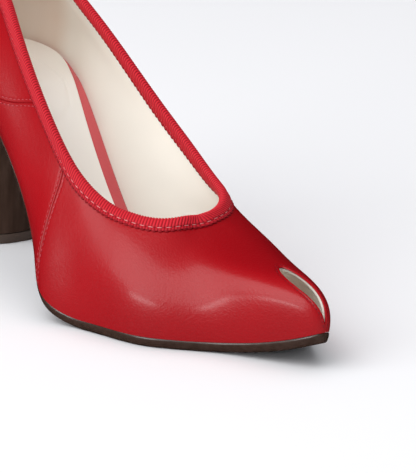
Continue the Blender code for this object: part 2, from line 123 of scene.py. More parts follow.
@dataclass(frozen=True)
class Last:
    """The form that the shoe is made on, with the same sizes as the solids."""

    length: float = 0.228
    ball_width: float = 0.078
    collar_height: float = 0.054
    seat_height: float = 0.068
    heel_back: float = -0.020
    seat_pitch: float = 0.12
    toe_spring: float = 0.008
    seat_at: float = 0.10
    breast_at: float = 0.24
    ball_at: float = 0.66
    flat_to: float = 0.82
    sole_stack: float = 0.0038
    vamp_reach: float = 0.030
    samples: int = 1440
    step_up: float = 0.004
    search_from: float = 0.4
    search_points: int = 61

    @functools.cached_property
    def values(self) -> np.ndarray:
        """The ribs' numbers in metres, one row a rib."""
        table = np.array([rib[1:] for rib in RIBS], float)
        sizes = [self.length, self.ball_width, self.length, self.ball_width, self.collar_height]
        values = table * np.array(sizes + [self.ball_width] * 4)
        values[:, [0, 2]] += self.heel_back
        return values

    @functools.cached_property
    def knots(self) -> np.ndarray:
        """The ribs' places round the feather line, and its length round as the last value."""
        line = self.values[:, :2]
        chords = np.linalg.norm(np.roll(line, -1, axis=0) - line, axis=1)
        return np.concatenate([[0.0], np.cumsum(chords)])

    @property
    def round(self) -> float:
        """The length round of the feather line's chords."""
        return float(self.knots[-1])

    @functools.cached_property
    def bends(self) -> np.ndarray:
        """The second derivatives, at the ribs, of the closed spline through them."""
        count = len(self.values)
        spans = np.diff(self.knots)
        system = np.zeros((count, count))
        right = np.zeros(self.values.shape)
        for i in range(count):
            before, after = spans[i - 1], spans[i]
            following = (i + 1) % count
            system[i, i - 1] += before
            system[i, i] += 2 * (before + after)
            system[i, following] += after
            rise = (self.values[following] - self.values[i]) / after
            right[i] = 6 * (rise - (self.values[i] - self.values[i - 1]) / before)
        return np.linalg.solve(system, right)

    def place(self, number: float | np.ndarray) -> np.ndarray:
        """The place round the feather line of a rib number, which may be between two ribs.

        Args:
            number: rib numbers, where one turn later is as many ribs more.

        Returns:
            Places in metres, that go on growing past a whole turn.
        """
        number = np.asarray(number, float)
        turns = np.floor(number / len(RIBS))
        within = number - turns * len(RIBS)
        return turns * self.round + np.interp(within, np.arange(len(RIBS) + 1), self.knots)

    def columns(self, at: np.ndarray) -> np.ndarray:
        """The ribs' numbers at places round the shoe.

        Args:
            at: places in metres.

        Returns:
            One row of rib values for each place.
        """
        place = np.mod(np.asarray(at, float), self.round)
        low = np.clip(np.searchsorted(self.knots, place, side="right") - 1, 0, len(RIBS) - 1)
        high = (low + 1) % len(RIBS)
        span = (self.knots[low + 1] - self.knots[low])[:, None]
        ahead = (place - self.knots[low])[:, None]
        behind = span - ahead
        values, bends = self.values, self.bends
        return (
            (bends[low] * behind**3 + bends[high] * ahead**3) / (6 * span)
            + (values[low] / span - bends[low] * span / 6) * behind
            + (values[high] / span - bends[high] * span / 6) * ahead
        )

    def feather_height(self, x: np.ndarray) -> np.ndarray:
        """The height of the feather line over the floor.

        Args:
            x: places along the shoe in metres.

        Returns:
            Heights in metres.
        """
        share = (np.asarray(x, float) - self.heel_back) / self.length
        seat_top = self.seat_height + self.sole_stack
        seat = seat_top - self.seat_pitch * self.length * (share - self.seat_at)
        breast = seat_top - self.seat_pitch * self.length * (self.breast_at - self.seat_at)
        run = (self.ball_at - self.breast_at) * self.length
        way = np.clip((share - self.breast_at) / (self.ball_at - self.breast_at), 0.0, 1.0)
        fall = 2 * way**3 - 3 * way**2 + 1
        start = way**3 - 2 * way**2 + way
        shank = fall * breast - start * run * self.seat_pitch + (1 - fall) * self.sole_stack
        lift = np.clip((share - self.flat_to) / (1.0 - self.flat_to), 0.0, None) ** 2
        forepart = self.sole_stack + self.toe_spring * lift
        return np.where(share < self.breast_at, seat, np.where(share < self.ball_at, shank, forepart))

    def outward(self, places: np.ndarray, reach: float) -> np.ndarray:
        """Level directions out of the feather line.

        Args:
            places: places round the shoe.
            reach: how far to each side the feather line's direction is read.

        Returns:
            One direction of length one for each place.
        """
        along = self.columns(places + reach)[:, :2] - self.columns(places - reach)[:, :2]
        return unit(np.stack([along[:, 1], -along[:, 0], np.zeros(len(along))], axis=1))

    def surface(self, at: np.ndarray, up: np.ndarray) -> np.ndarray:
        """Points on the outside of the upper.

        Args:
            at: places round the shoe in metres.
            up: shares of the way up from the feather line to the collar.

        Returns:
            Points, in the shape of at with a last axis of three.
        """
        at, up = np.broadcast_arrays(np.asarray(at, float), np.asarray(up, float))
        places = at.ravel()
        step = self.round / self.samples
        columns = self.columns(places)
        foot = np.column_stack([columns[:, :2], self.feather_height(columns[:, 0])])
        top = np.column_stack([columns[:, 2:4], self.feather_height(columns[:, 2]) + columns[:, 4]])
        low = foot + self.outward(places, step) * columns[:, 5:6] + UPWARDS * columns[:, 6:7]
        high = top + self.outward(places, self.vamp_reach) * columns[:, 7:8] - UPWARDS * columns[:, 8:9]
        share = up.reshape(-1, 1)
        rest = 1.0 - share
        points = (
            rest**3 * foot
            + 3 * rest**2 * share * low
            + 3 * rest * share**2 * high
            + share**3 * top
        )
        return points.reshape(at.shape + (3,))

    def frames(self, at: np.ndarray, up: np.ndarray) -> tuple[np.ndarray, np.ndarray, np.ndarray]:
        """Points on the outside of the upper with their directions.

        Args:
            at: places round the shoe in metres.
            up: shares of the way up the ribs.

        Returns:
            The points, their outward normals, and their directions up the ribs.
        """
        step_round = self.round / self.samples
        point = self.surface(at, up)
        along = self.surface(at + step_round, up) - self.surface(at - step_round, up)
        upward = self.surface(at, up + self.step_up) - self.surface(at, up - self.step_up)
        normal = unit(np.cross(along, upward))
        return point, normal, unit(upward)

    def below_collar(self, at: np.ndarray, distance: float) -> np.ndarray:
        """The share up each rib that lies a distance below its top end.

        Args:
            at: places round the shoe in metres.
            distance: length along the rib in metres.

        Returns:
            One share for each place.
        """
        shares = np.linspace(self.search_from, 1.0, self.search_points)
        lines = self.surface(at[:, None], shares[None, :])
        steps = np.linalg.norm(np.diff(lines, axis=1), axis=2)
        below = np.cumsum(steps[:, ::-1], axis=1)[:, ::-1]
        below = np.concatenate([below, np.zeros((len(at), 1))], axis=1)
        return np.array([np.interp(distance, row[::-1], shares[::-1]) for row in below])

    def feather(self, inset: float, count: int) -> np.ndarray:
        """The feather line in plan, moved inwards.

        Args:
            inset: how far inwards in metres.
            count: points round.

        Returns:
            Points in x and y, running from the heel's back along the outer side.
        """
        line = self.columns(np.arange(count) * self.round / count)[:, :2]
        along = np.roll(line, -1, axis=0) - np.roll(line, 1, axis=0)
        inward = unit(np.stack([-along[:, 1], along[:, 0]], axis=1))
        return line + inward * inset


def unit(vectors: np.ndarray) -> np.ndarray:
    """The vectors at length one, along the last axis."""
    return vectors / np.linalg.norm(vectors, axis=-1, keepdims=True)


def smooth_step(way: np.ndarray) -> np.ndarray:
    """A soft step from nothing at 0 to one at 1."""
    way = np.clip(way, 0.0, 1.0)
    return way * way * (3 - 2 * way)


@dataclass(frozen=True)
class Slit:
    """The peep slit at the tip of the toe, a drop shape that leans inwards as it rises."""

    last: Last
    width: float = 0.0066
    foot: float = 0.05
    top: float = 0.53
    settled: float = 0.80
    offset: float = -0.0025
    lean: float = 0.019
    reach: float = 0.030
    rise: float = 2.0
    fullness: float = 0.45

    @property
    def place(self) -> float:
        """The place round the shoe where the slit's middle line starts."""
        return float(self.last.place(TOE_TIP)) + self.offset

    def leaning(self, up: np.ndarray) -> np.ndarray:
        """How far the middle line has moved inwards at shares of the way up."""
        settling = np.clip((self.settled - up) / (self.settled - self.top), 0.0, 1.0)
        return self.lean * np.minimum(up, self.top) ** 2 * settling

    def half_width(self, up: np.ndarray, wider: float = 0.0) -> np.ndarray:
        """Half the slit's width at a share of the way up, nothing outside the slit.

        Args:
            up: shares of the way up.
            wider: how much is added to each side, where the slit is open.

        Returns:
            Half widths in metres.
        """
        way = np.clip((up - self.foot) / (self.top - self.foot), 0.0, 1.0) ** self.rise
        return (0.5 * self.width + wider) * np.sin(math.pi * way) ** self.fullness

    def beside(self, at: np.ndarray, up: np.ndarray, side: np.ndarray, wider: float = 0.0) -> np.ndarray:
        """Places moved aside, so that the columns part around the slit.

        Args:
            at: places round the shoe.
            up: shares of the way up.
            side: minus one on the outer side of the slit and one on the inner side.
            wider: how much is added to each side of the slit.

        Returns:
            The moved places.
        """
        away = at - self.place
        edge = self.leaning(up) + side * self.half_width(up, wider)
        squeezed = self.place + edge + away * (1.0 - side * edge / self.reach)
        return np.where(np.abs(away) < self.reach, squeezed, at)

    def shares(self, count: int) -> np.ndarray:
        """Shares of the way up between the slit's ends, close together at both."""
        way = (1.0 - np.cos(np.linspace(0.0, math.pi, count))) / 2
        return self.foot + (self.top - self.foot) * way

    def rim(self, count: int) -> np.ndarray:
        """Points round the slit's rim.

        Args:
            count: points on each side.

        Returns:
            Points on the outside of the upper, up the outer side and down the inner one.
        """
        up = self.shares(count)
        middle = self.place + self.leaning(up)
        outer = self.last.surface(middle - self.half_width(up), up)
        inner = self.last.surface(middle + self.half_width(up), up)
        return np.vstack([outer, inner[::-1][1:]])


def distance_to(points: np.ndarray, line: np.ndarray) -> np.ndarray:
    """How far each point lies from a line.

    Args:
        points: any array of points.
        line: the line's points, in order.

    Returns:
        Distances in metres, in the shape of points less its last axis.
    """
    flat = points.reshape(-1, 3)
    nearest = np.full(len(flat), np.inf)
    for start, end in zip(line[:-1], line[1:]):
        run = end - start
        share = np.clip((flat - start) @ run / max(float(run @ run), 1e-12), 0.0, 1.0)
        nearest = np.minimum(nearest, np.linalg.norm(flat - start - share[:, None] * run, axis=1))
    return nearest.reshape(points.shape[:-1])


class Shading(Enum):
    """How a mesh is shaded."""

    SMOOTH = "smooth all over"
    CREASED = "smooth, with its corners kept sharp"


def add_object(name: str, data: bpy.types.ID) -> Object:
    """A new object of that name, in the scene."""
    made = bpy.data.objects.new(name, data)
    bpy.context.scene.collection.objects.link(made)
    return made


def add_mesh(
    name: str,
    points: np.ndarray,
    faces: list[list[int]],
    finish: Material | None = None,
    shading: Shading = Shading.SMOOTH,
    attributes: dict[str, np.ndarray] | None = None,
    edges: list[tuple[int, int]] | None = None,
) -> Object:
    """One object from points and faces, or from points and edges.

    Args:
        name: the piece's name.
        points: the mesh's points.
        faces: the corners of each face.
        finish: its material.
        shading: how it is shaded.
        attributes: numbers or vectors for each point, by name.
        edges: the ends of each edge, where there are no faces.

    Returns:
        The new object, in the scene.
    """
    mesh = bpy.data.meshes.new(name)
    mesh.from_pydata(points.reshape(-1, 3).tolist(), edges or [], faces)
    for label, values in (attributes or {}).items():
        vector = values.ndim > 1 and values.shape[-1] == 3
        made = mesh.attributes.new(label, "FLOAT_VECTOR" if vector else "FLOAT", "POINT")
        made.data.foreach_set("vector" if vector else "value", values.astype(np.float32).ravel())
    mesh.shade_smooth()
    if shading is Shading.CREASED:
        mesh.set_sharp_from_angle(angle=SHARP_CORNER)
    if finish:
        mesh.materials.append(finish)
    return add_object(name, mesh)


def settle(piece: Object) -> Object:
    """The piece with its modifiers made part of its mesh."""
    bpy.context.view_layer.update()
    graph = bpy.context.evaluated_depsgraph_get()
    mesh = bpy.data.meshes.new_from_object(piece.evaluated_get(graph))
    old = piece.data
    piece.modifiers.clear()
    piece.data = mesh
    bpy.data.meshes.remove(old)
    mesh.name = piece.name
    return piece


def numbered(shape: tuple[int, ...]) -> np.ndarray:
    """A table of point numbers in that shape, row after row."""
    return np.arange(math.prod(shape)).reshape(shape)


def closed(table: np.ndarray) -> np.ndarray:
    """A table with its first column again at the end."""
    return np.column_stack([table, table[:, 0]])


def cells(table: np.ndarray) -> list[list[int]]:
    """The faces between a table's points, facing outwards where rows go up and columns round."""
    corners = (table[:-1, :-1], table[:-1, 1:], table[1:, 1:], table[1:, :-1])
    return np.stack(corners, axis=-1).reshape(-1, 4).tolist()


class Tree:
    """A short way to build a node tree."""

    def __init__(self, tree: bpy.types.NodeTree) -> None:
        """Keeps the tree that is built."""
        self.tree = tree

    def add(self, kind: str, values: dict | None = None, **settings: object) -> bpy.types.Node:
        """Adds a node.

        Args:
            kind: the node's type.
            values: values or sockets for its inputs, by name or number.
            settings: the node's own properties.

        Returns:
            The new node.
        """
        node = self.tree.nodes.new(kind)
        for key, value in settings.items():
            setattr(node, key, value)
        self.fill(node, values or {})
        return node

    def fill(self, node: bpy.types.Node, values: dict) -> None:
        """Sets a node's inputs.

        Args:
            node: the node.
            values: values, colours in three parts, or sockets, by name or number.
        """
        for key, value in values.items():
            target = node.inputs[key]
            if isinstance(value, Socket):
                self.tree.links.new(value, target)
            else:
                target.default_value = (*value, 1.0) if target.type == "RGBA" else value

    def math(self, operation: str, first: object, second: object = 0.0, third: object = 0.0) -> Socket:
        """The result of a Math node on values or sockets."""
        return self.add("ShaderNodeMath", {0: first, 1: second, 2: third}, operation=operation).outputs[0]


class Shader(Tree):
    """A new material and its node tree, with what the finishes share."""

    def __init__(self, name: str, shown: Colour) -> None:
        """Makes the material, with the colour that plain views show."""
        self.material = bpy.data.materials.new(name)
        self.material.use_nodes = True
        self.material.diffuse_color = (*shown, 1.0)
        super().__init__(self.material.node_tree)
        self.where = self.add("ShaderNodeTexCoord").outputs["Object"]

    def noise(self, scale: float, detail: float, where: Socket | None = None) -> Socket:
        """Noise at a scale, over the object or over another place."""
        values = {"Vector": where or self.where, "Scale": scale, "Detail": detail}
        return self.add("ShaderNodeTexNoise", values).outputs[0]

    def attribute(self, name: str) -> Socket:
        """A number that the mesh keeps at each point."""
        return self.add("ShaderNodeAttribute", attribute_name=name).outputs["Fac"]

    def ramp(self, value: Socket, low: float, high: float) -> Socket:
        """A value stretched so that low becomes 0 and high becomes 1, and held there."""
        return self.add("ShaderNodeMapRange", {0: value, 1: low, 2: high}, clamp=True).outputs[0]

    def mix(self, share: Socket, first: object, second: object) -> Socket:
        """A colour mixed from two colours by a share."""
        return self.add("ShaderNodeMix", {0: share, 6: first, 7: second}, data_type="RGBA").outputs[2]

    def bump(self, height: Socket, strength: float, depth: float) -> Socket:
        """The normal of a surface that a height raises."""
        values = {"Strength": strength, "Distance": depth, "Height": height}
        return self.add("ShaderNodeBump", values).outputs[0]

    def dress(self, values: dict) -> Material:
        """The material, with its Principled shader's inputs set."""
        self.fill(self.tree.nodes["Principled BSDF"], values)
        return self.material


@dataclass(frozen=True)
class Leather:
    """A leather: its colour, its gloss and its grain."""

    name: str
    colour: Colour
    # The darker colour, both for the random unevenness and for the painted shade at the seams.
    dark_mottle_and_shade: Colour
    roughness: float = 0.38
    coat: float = 0.35
    coat_roughness: float = 0.20
    grain: float = 1700.0
    grain_depth: float = 0.00009
    mottle: float = 0.35
    specular: float = 0.35

    def make(self) -> Material:
        """The material: fine pores, a soft unevenness, and painted shade where the seams' edges roll and
        their stitches sink.
        """
        tree = Shader(self.name, self.colour)
        pores = tree.add(
            "ShaderNodeTexVoronoi", {"Vector": tree.where, "Scale": self.grain}, feature="SMOOTH_F1"
        )
        soft = tree.math("MULTIPLY", tree.noise(self.grain * 0.4, 3.0), 0.8)
        relief = tree.math("ADD", pores.outputs["Distance"], soft)
        cloud = tree.noise(28.0, 2.0)
        unevenness = tree.math("MULTIPLY", tree.ramp(cloud, 0.35, 0.7), self.mottle)
        body = tree.mix(unevenness, self.colour, self.dark_mottle_and_shade)
        # Painted shade: darker where the mesh's attribute marks seam edges and stitch channels.
        seam_shade_share = tree.math("MULTIPLY", tree.attribute("crease"), 0.8)
        return tree.dress(
            {
                "Base Color": tree.mix(seam_shade_share, body, self.dark_mottle_and_shade),
                "Normal": tree.bump(relief, 1.0, self.grain_depth),
                "Roughness": tree.math("MULTIPLY_ADD", cloud, 0.08, self.roughness - 0.04),
                "Specular IOR Level": self.specular,
                "Coat Weight": self.coat,
                "Coat Roughness": self.coat_roughness,
            }
        )


@dataclass(frozen=True)
class Lining:
    """The cream lining, warmer where the heel grip is."""

    name: str
    side: Colour
    grip: Colour
    roughness: float = 0.6

    def make(self) -> Material:
        """The material: fine suede nap, with the heel grip's colour by an attribute."""
        tree = Shader(self.name, self.side)
        body = tree.mix(tree.attribute("grip"), self.side, self.grip)
        darker = tuple(0.9 * part for part in self.side)
        clouded = tree.math("MULTIPLY", tree.ramp(tree.noise(40.0, 2.0), 0.4, 0.75), 0.3)
        return tree.dress(
            {
                "Base Color": tree.mix(clouded, body, darker),
                "Normal": tree.bump(tree.noise(1800.0, 4.0), 0.5, 0.00004),
                "Roughness": self.roughness,
                "Specular IOR Level": 0.3,
            }
        )


@dataclass(frozen=True)
class Ribbon:
    """Ribbed ribbon: crests that catch the light, with painted shade in the deep valleys between them."""

    name: str
    crest: Colour
    # The colour of the painted shade in the ribs' valleys.
    valley_shade: Colour

    def make(self) -> Material:
        """The material: matt thread with a sheen, with painted shade in the valleys of the ribs."""
        tree = Shader(self.name, self.crest)
        lit = tree.ramp(tree.attribute("rib_height"), 0.15, 0.95)
        return tree.dress(
            {
                # Painted shade: the colour goes to the valley colour where the ribs are low.
                "Base Color": tree.mix(lit, self.valley_shade, self.crest),
                "Normal": tree.bump(tree.noise(2600.0, 3.0), 0.6, 0.00005),
                "Roughness": 0.55,
                "Specular IOR Level": 0.25,
                "Sheen Weight": 0.05,
                "Sheen Roughness": 0.4,
                "Sheen Tint": (1.0, 0.55, 0.55),
            }
        )


@dataclass(frozen=True)
class Plain:
    """A plain finish with a little unevenness, for thread, rubber, and the painted shade of stitch holes."""

    name: str
    colour: Colour
    roughness: float = 0.5
    grain: float = 3000.0
    sheen: float = 0.0

    def make(self) -> Material:
        """The material: one colour broken up by fine noise."""
        tree = Shader(self.name, self.colour)
        noise = tree.noise(self.grain, 2.0)
        darker = tuple(0.75 * part for part in self.colour)
        return tree.dress(
            {
                "Base Color": tree.mix(noise, self.colour, darker),
                "Normal": tree.bump(noise, 0.4, 0.00003),
                "Roughness": self.roughness,
                "Sheen Weight": self.sheen,
            }
        )


@dataclass(frozen=True)
class Grained:
    """Brown leather of the heel and the sole's edge, with streaks down the heel."""

    name: str
    colour: Colour
    light: Colour
    stretch: tuple[float, float, float] = (1.0, 1.0, 1.0)
    relief: float = 0.6
    roughness: float = 0.38
    coat: float = 0.2

    def make(self) -> Material:
        """The material: streaks in the stretched direction, polished."""
        tree = Shader(self.name, self.colour)
        stretched = tree.add("ShaderNodeMapping", {"Vector": tree.where, "Scale": self.stretch})
        streaks = tree.noise(420.0, 5.0, stretched.outputs[0])
        relief = tree.math("ADD", streaks, tree.math("MULTIPLY", tree.noise(1600.0, 2.0), 0.4))
        return tree.dress(
            {
                "Base Color": tree.mix(tree.ramp(streaks, 0.35, 0.7), self.colour, self.light),
                "Normal": tree.bump(relief, self.relief, 0.00005),
                "Roughness": self.roughness,
                "Coat Weight": self.coat,
                "Coat Roughness": 0.2,
            }
        )


def make_finishes() -> Finishes:
    """Every material of the shoe by its name, made once."""
    kinds = (
        Leather("red_calf", (0.39, 0.0005, 0.005), (0.27, 0.0003, 0.0035)),
        Leather("red_insole_cover", (0.66, 0.10, 0.11), (0.48, 0.05, 0.06), 0.45, 0.1,
                grain=1100.0, grain_depth=0.00008),
        Leather("cream_sock", (0.95, 0.92, 0.85), (0.91, 0.87, 0.78), 0.5, 0.05,
                grain=1300.0, grain_depth=0.00002),
        Lining("cream_lining", (0.94, 0.91, 0.82), (0.84, 0.72, 0.61)),
        # Its second colour is painted shade in the ribs' valleys.
        Ribbon("red_ribbon", (0.66, 0.018, 0.032), (0.26, 0.001, 0.007)),
        Plain("ribbon_thread", (0.85, 0.30, 0.30), 0.45, sheen=0.2),
        Plain("seam_thread", (0.60, 0.05, 0.07), 0.45, sheen=0.2),
        # Thread darkened with painted shade, as for stitches sunk in the slit rim's channel.
        Plain("slit_thread", (0.26, 0.002, 0.010), 0.6),
        # Painted shade: the dark marks at the stitch holes.
        Plain("stitch_hole", (0.12, 0.001, 0.004), 0.8),
        Grained("brown_sole", (0.044, 0.023, 0.016), (0.062, 0.035, 0.026), relief=0.15,
                roughness=0.26, coat=0.5),
        Grained("brown_heel", (0.052, 0.024, 0.014), (0.090, 0.048, 0.032), stretch=(1.0, 1.0, 0.12)),
        Plain("brown_lift", (0.11, 0.075, 0.06), 0.35, grain=900.0),
    )
    return {kind.name: kind.make() for kind in kinds}


class Slot(Enum):
    """The record's material slots."""

    UPPER = "upper_leather"
    RIBBON = "binding_ribbon"
    INSOLE = "insole_leather"
    SOCK = "sock_leather"
    SOLE = "sole_leather"
    HEEL = "heel_cover"
    TOP_PIECE = "top_piece_rubber"


def assign(piece: Object, slot: Slot, node: str | None = None) -> None:
    """Hides the solid that a piece stands for, where there is one."""
    if node:
        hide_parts(node)


@dataclass(frozen=True)
class Seam:
    """A seam across the upper, as rib numbers at even shares of the way up."""

    numbers: tuple[float, ...]

    def place(self, last: Last, up: np.ndarray) -> np.ndarray:
        """The seam's place round the shoe at shares of the way up."""
        return last.place(np.interp(up, np.linspace(0.0, 1.0, len(self.numbers)), self.numbers))


OUTER_REAR = Seam((2.45, 2.99, 3.27, 3.54, 3.83))
OUTER_FRONT = Seam((4.66, 4.72, 4.79, 4.86, 4.82))
INNER_FRONT = Seam((13.02, 13.06, 13.12, 13.20, 13.30))
INNER_REAR = Seam((15.70, 15.05, 14.70, 14.35, 14.00))
REAR_AGAIN = Seam(tuple(len(RIBS) + number for number in OUTER_REAR.numbers))


def spread(span: float, pitch: float, near: tuple[float, ...]) -> np.ndarray:
    """Column places over a span, close together at both its ends.

    Args:
        span: the mean length that the columns cover.
        pitch: their distance away from the ends.
        near: their distances from each end, where they are close.

    Returns:
        Shares of the span, from 0 to 1.
    """
    close = np.array(near) / span
    count = max(2, int(span * (1 - 2 * close[-1]) / pitch)) + 1
    middle = np.linspace(close[-1], 1.0 - close[-1], count)
    return np.concatenate([close[:-1], middle, 1.0 - close[:-1][::-1]])


@dataclass
class Upper:
    """The leather upper: vamp, two quarters and heel panel, and the lining inside them."""

    last: Last
    slit: Slit
    finishes: Finishes
    leather: float = 0.0009
    lining_gap: float = 0.00005
    wall: float = 0.0018
    edge_roll: float = 0.0006
    edge_drop: float = 0.00035
    rim_roll: float = 0.0009
    rim_drop: float = 0.0006
    stitch_line: float = 0.0012
    rim_line: float = 0.0014
    channel: float = 0.0004
    channel_depth: float = 0.00010
    rim_channel_depth: float = 0.00018
    pitch: float = 0.0011
    rows: int = 73
    row_gap: float = 0.003
    near_ends: tuple[float, ...] = (0.0, 0.0008, 0.0024, 0.005, 0.009, 0.014, 0.020)
    near_edge: tuple[float, ...] = (
        0.0, 0.00015, 0.0003, 0.0005, 0.0007, 0.0009, 0.0011, 0.0013, 0.0015, 0.0018, 0.0023, 0.003, 0.004
    )
    near_lining: tuple[float, ...] = (0.0, 0.0003, 0.0007, 0.0012, 0.002, 0.003)
    lining_setback: float = 0.0016
    grip_from: float = 15.6
    grip_to: float = 2.9
    grip_fade: float = 0.5
    # Shares of painted shade in the seams' stitch channels and in the slit rim's stitch channel.
    seam_shade_weight: float = 0.25
    rim_shade_weight: float = 0.4
    seam_points: int = 61
    rim_points: int = 60
    foot_rows: tuple[float, float, int] = (0.0, 0.03, 3)
    slit_rows: int = 30
    top_rows: tuple[float, float, int] = (0.56, 0.985, 20)
    weld: float = 0.00001
    pieces: list[Object] = field(default_factory=list)

    def row_shares(self) -> np.ndarray:
        """The rows' shares of the way up, close together at the slit's ends."""
        even = np.linspace(0.0, 1.0, self.rows)
        steps = np.array(self.near_ends)
        ends = np.concatenate([self.slit.foot + steps, self.slit.top - steps])
        kept = even[np.abs(even[:, None] - ends[None, :]).min(axis=1) > self.row_gap]
        return np.unique(np.concatenate([kept, ends]))

    def relief(self, points: np.ndarray, seams: tuple[Seam, ...], rim: np.ndarray | None) -> tuple:
        """How far the leather's face sinks at its edges, and how much painted shade darkens it there.

        Args:
            points: the face's points.
            seams: the seams beside the panel.
            rim: the slit's rim, or None.

        Returns:
            Depths in metres and shares of painted shade, one for each point.
        """
        depth = np.zeros(points.shape[:-1])
        crease = np.zeros(points.shape[:-1])
        for seam in seams:
            up = np.linspace(0.0, 1.0, self.seam_points)
            away = distance_to(points, self.last.surface(seam.place(self.last, up), up))
            rolled = np.clip(1.0 - away / self.edge_roll, 0.0, 1.0)
            sewn = np.exp(-(((away - self.stitch_line) / self.channel) ** 2))
            depth += self.edge_drop * rolled**2 + self.channel_depth * sewn
            # Painted shade: darker colour in the rolled edge and along the stitch channel.
            crease += rolled + self.seam_shade_weight * sewn
        if rim is not None:
            away = distance_to(points, rim)
            rolled = np.clip(1.0 - away / self.rim_roll, 0.0, 1.0)
            sewn = np.exp(-(((away - self.rim_line) / self.channel) ** 2))
            depth += self.rim_drop * rolled**2.5 + self.rim_channel_depth * sewn
            # Painted shade along the rim's stitch channel.
            crease += self.rim_shade_weight * sewn
        return depth, np.clip(crease, 0.0, 1.0)

    def panel(self, name: str, start: Seam, end: Seam, with_slit: bool = False) -> None:
        """One leather panel between two seams.

        Args:
            name: the piece's name.
            start: the seam where its columns begin.
            end: the seam where they end.
            with_slit: True where the peep slit parts it.
        """
        up = self.row_shares()
        first, final = start.place(self.last, up), end.place(self.last, up)
        if with_slit:
            at, heights, faces = self.slit_grid(up, first, final, self.near_edge)
        else:
            shares = spread(float(np.mean(final - first)), self.pitch, self.near_edge)
            at = first[:, None] + (final - first)[:, None] * shares
            heights = up[:, None]
            faces = cells(numbered(at.shape))
        point, normal, _ = self.last.frames(at, heights)
        rim = self.slit.rim(self.rim_points) if with_slit else None
        depth, crease = self.relief(point, (start, end), rim)
        outside = point - normal * depth[..., None]
        red = self.finishes["red_calf"]
        # The painted shade goes with the panel as a point attribute that the leather darkens by.
        self.thicken(add_mesh(name, outside, faces, red, Shading.CREASED, {"crease": crease}), self.leather)

    def thicken(self, piece: Object, thickness: float) -> None:
        """Gives an open sheet its thickness on the inner side."""
        wall = piece.modifiers.new("thickness", "SOLIDIFY")
        wall.thickness = thickness
        wall.offset = -1.0
        settle(piece)
        piece.data.set_sharp_from_angle(angle=SHARP_CORNER)
        self.pieces.append(piece)

    def slit_grid(
        self,
        up: np.ndarray,
        first: np.ndarray,
        final: np.ndarray,
        near: tuple[float, ...],
        wider: float = 0.0,
    ) -> tuple[np.ndarray, np.ndarray, list[list[int]]]:
        """A grid between two lines up the shoe that parts around the slit.

        Args:
            up: the rows' shares of the way up.
            first: the place of each row's first column.
            final: the place of each row's last column.
            near: distances of the columns next to the slit.
            wider: how much wider than the leather's the slit is, on each side.

        Returns:
            The places and shares of the points, and the faces between them.
        """
        middle = np.full(len(up), self.slit.place)
        halves = []
        tables = []
        start = 0
        for begin, stop, side in ((first, middle, -1.0), (middle, final, 1.0)):
            shares = spread(float(np.mean(stop - begin)), self.pitch, near)
            at = begin[:, None] + (stop - begin)[:, None] * shares
            halves.append(self.slit.beside(at, up[:, None], side, wider))
            tables.append(start + numbered(at.shape))
            start += at.size
        shut = self.slit.half_width(up, wider) < 1e-6
        tables[1][shut, 0] = tables[0][shut, -1]
        used, faces = np.unique(cells(tables[0]) + cells(tables[1]), return_inverse=True)
        places = np.concatenate([half.ravel() for half in halves])
        heights = np.concatenate([np.repeat(up, half.shape[1]) for half in halves])
        return places[used], heights[used], faces.reshape(-1, 4).tolist()

    def build_lining(self) -> None:
        """The lining, one sheet all the way round inside the leather."""
        beside = self.slit.shares(self.slit_rows)
        up = np.concatenate([np.linspace(*self.foot_rows), beside, np.linspace(*self.top_rows)])
        first = np.full(len(up), self.slit.place - self.last.round / 2)
        final = first + self.last.round
        at, heights, faces = self.slit_grid(up, first, final, self.near_lining, self.lining_setback)
        point, normal, _ = self.last.frames(at, heights)
        inside = point - normal * (self.leather + self.lining_gap)
        number = np.interp(np.mod(at, self.last.round), self.last.knots, np.arange(len(RIBS) + 1))
        grip = smooth_step((number - self.grip_from) / self.grip_fade)
        grip = np.clip(grip + smooth_step((self.grip_to - number) / self.grip_fade), 0.0, 1.0)
        piece = add_mesh("lining", inside, faces, self.finishes["cream_lining"], attributes={"grip": grip})
        piece.modifiers.new("join", "WELD").merge_threshold = self.weld
        self.thicken(piece, self.wall - self.leather - self.lining_gap)

    def build(self) -> None:
        """Makes the four panels and the lining."""
        self.panel("vamp", OUTER_FRONT, INNER_FRONT, with_slit=True)
        self.panel("outer_quarter", OUTER_REAR, OUTER_FRONT)
        self.panel("inner_quarter", INNER_FRONT, INNER_REAR)
        self.panel("heel_panel", INNER_REAR, REAR_AGAIN)
        self.build_lining()
        for piece in self.pieces:
            assign(piece, Slot.SOCK if piece.name == "lining" else Slot.UPPER, "upper")


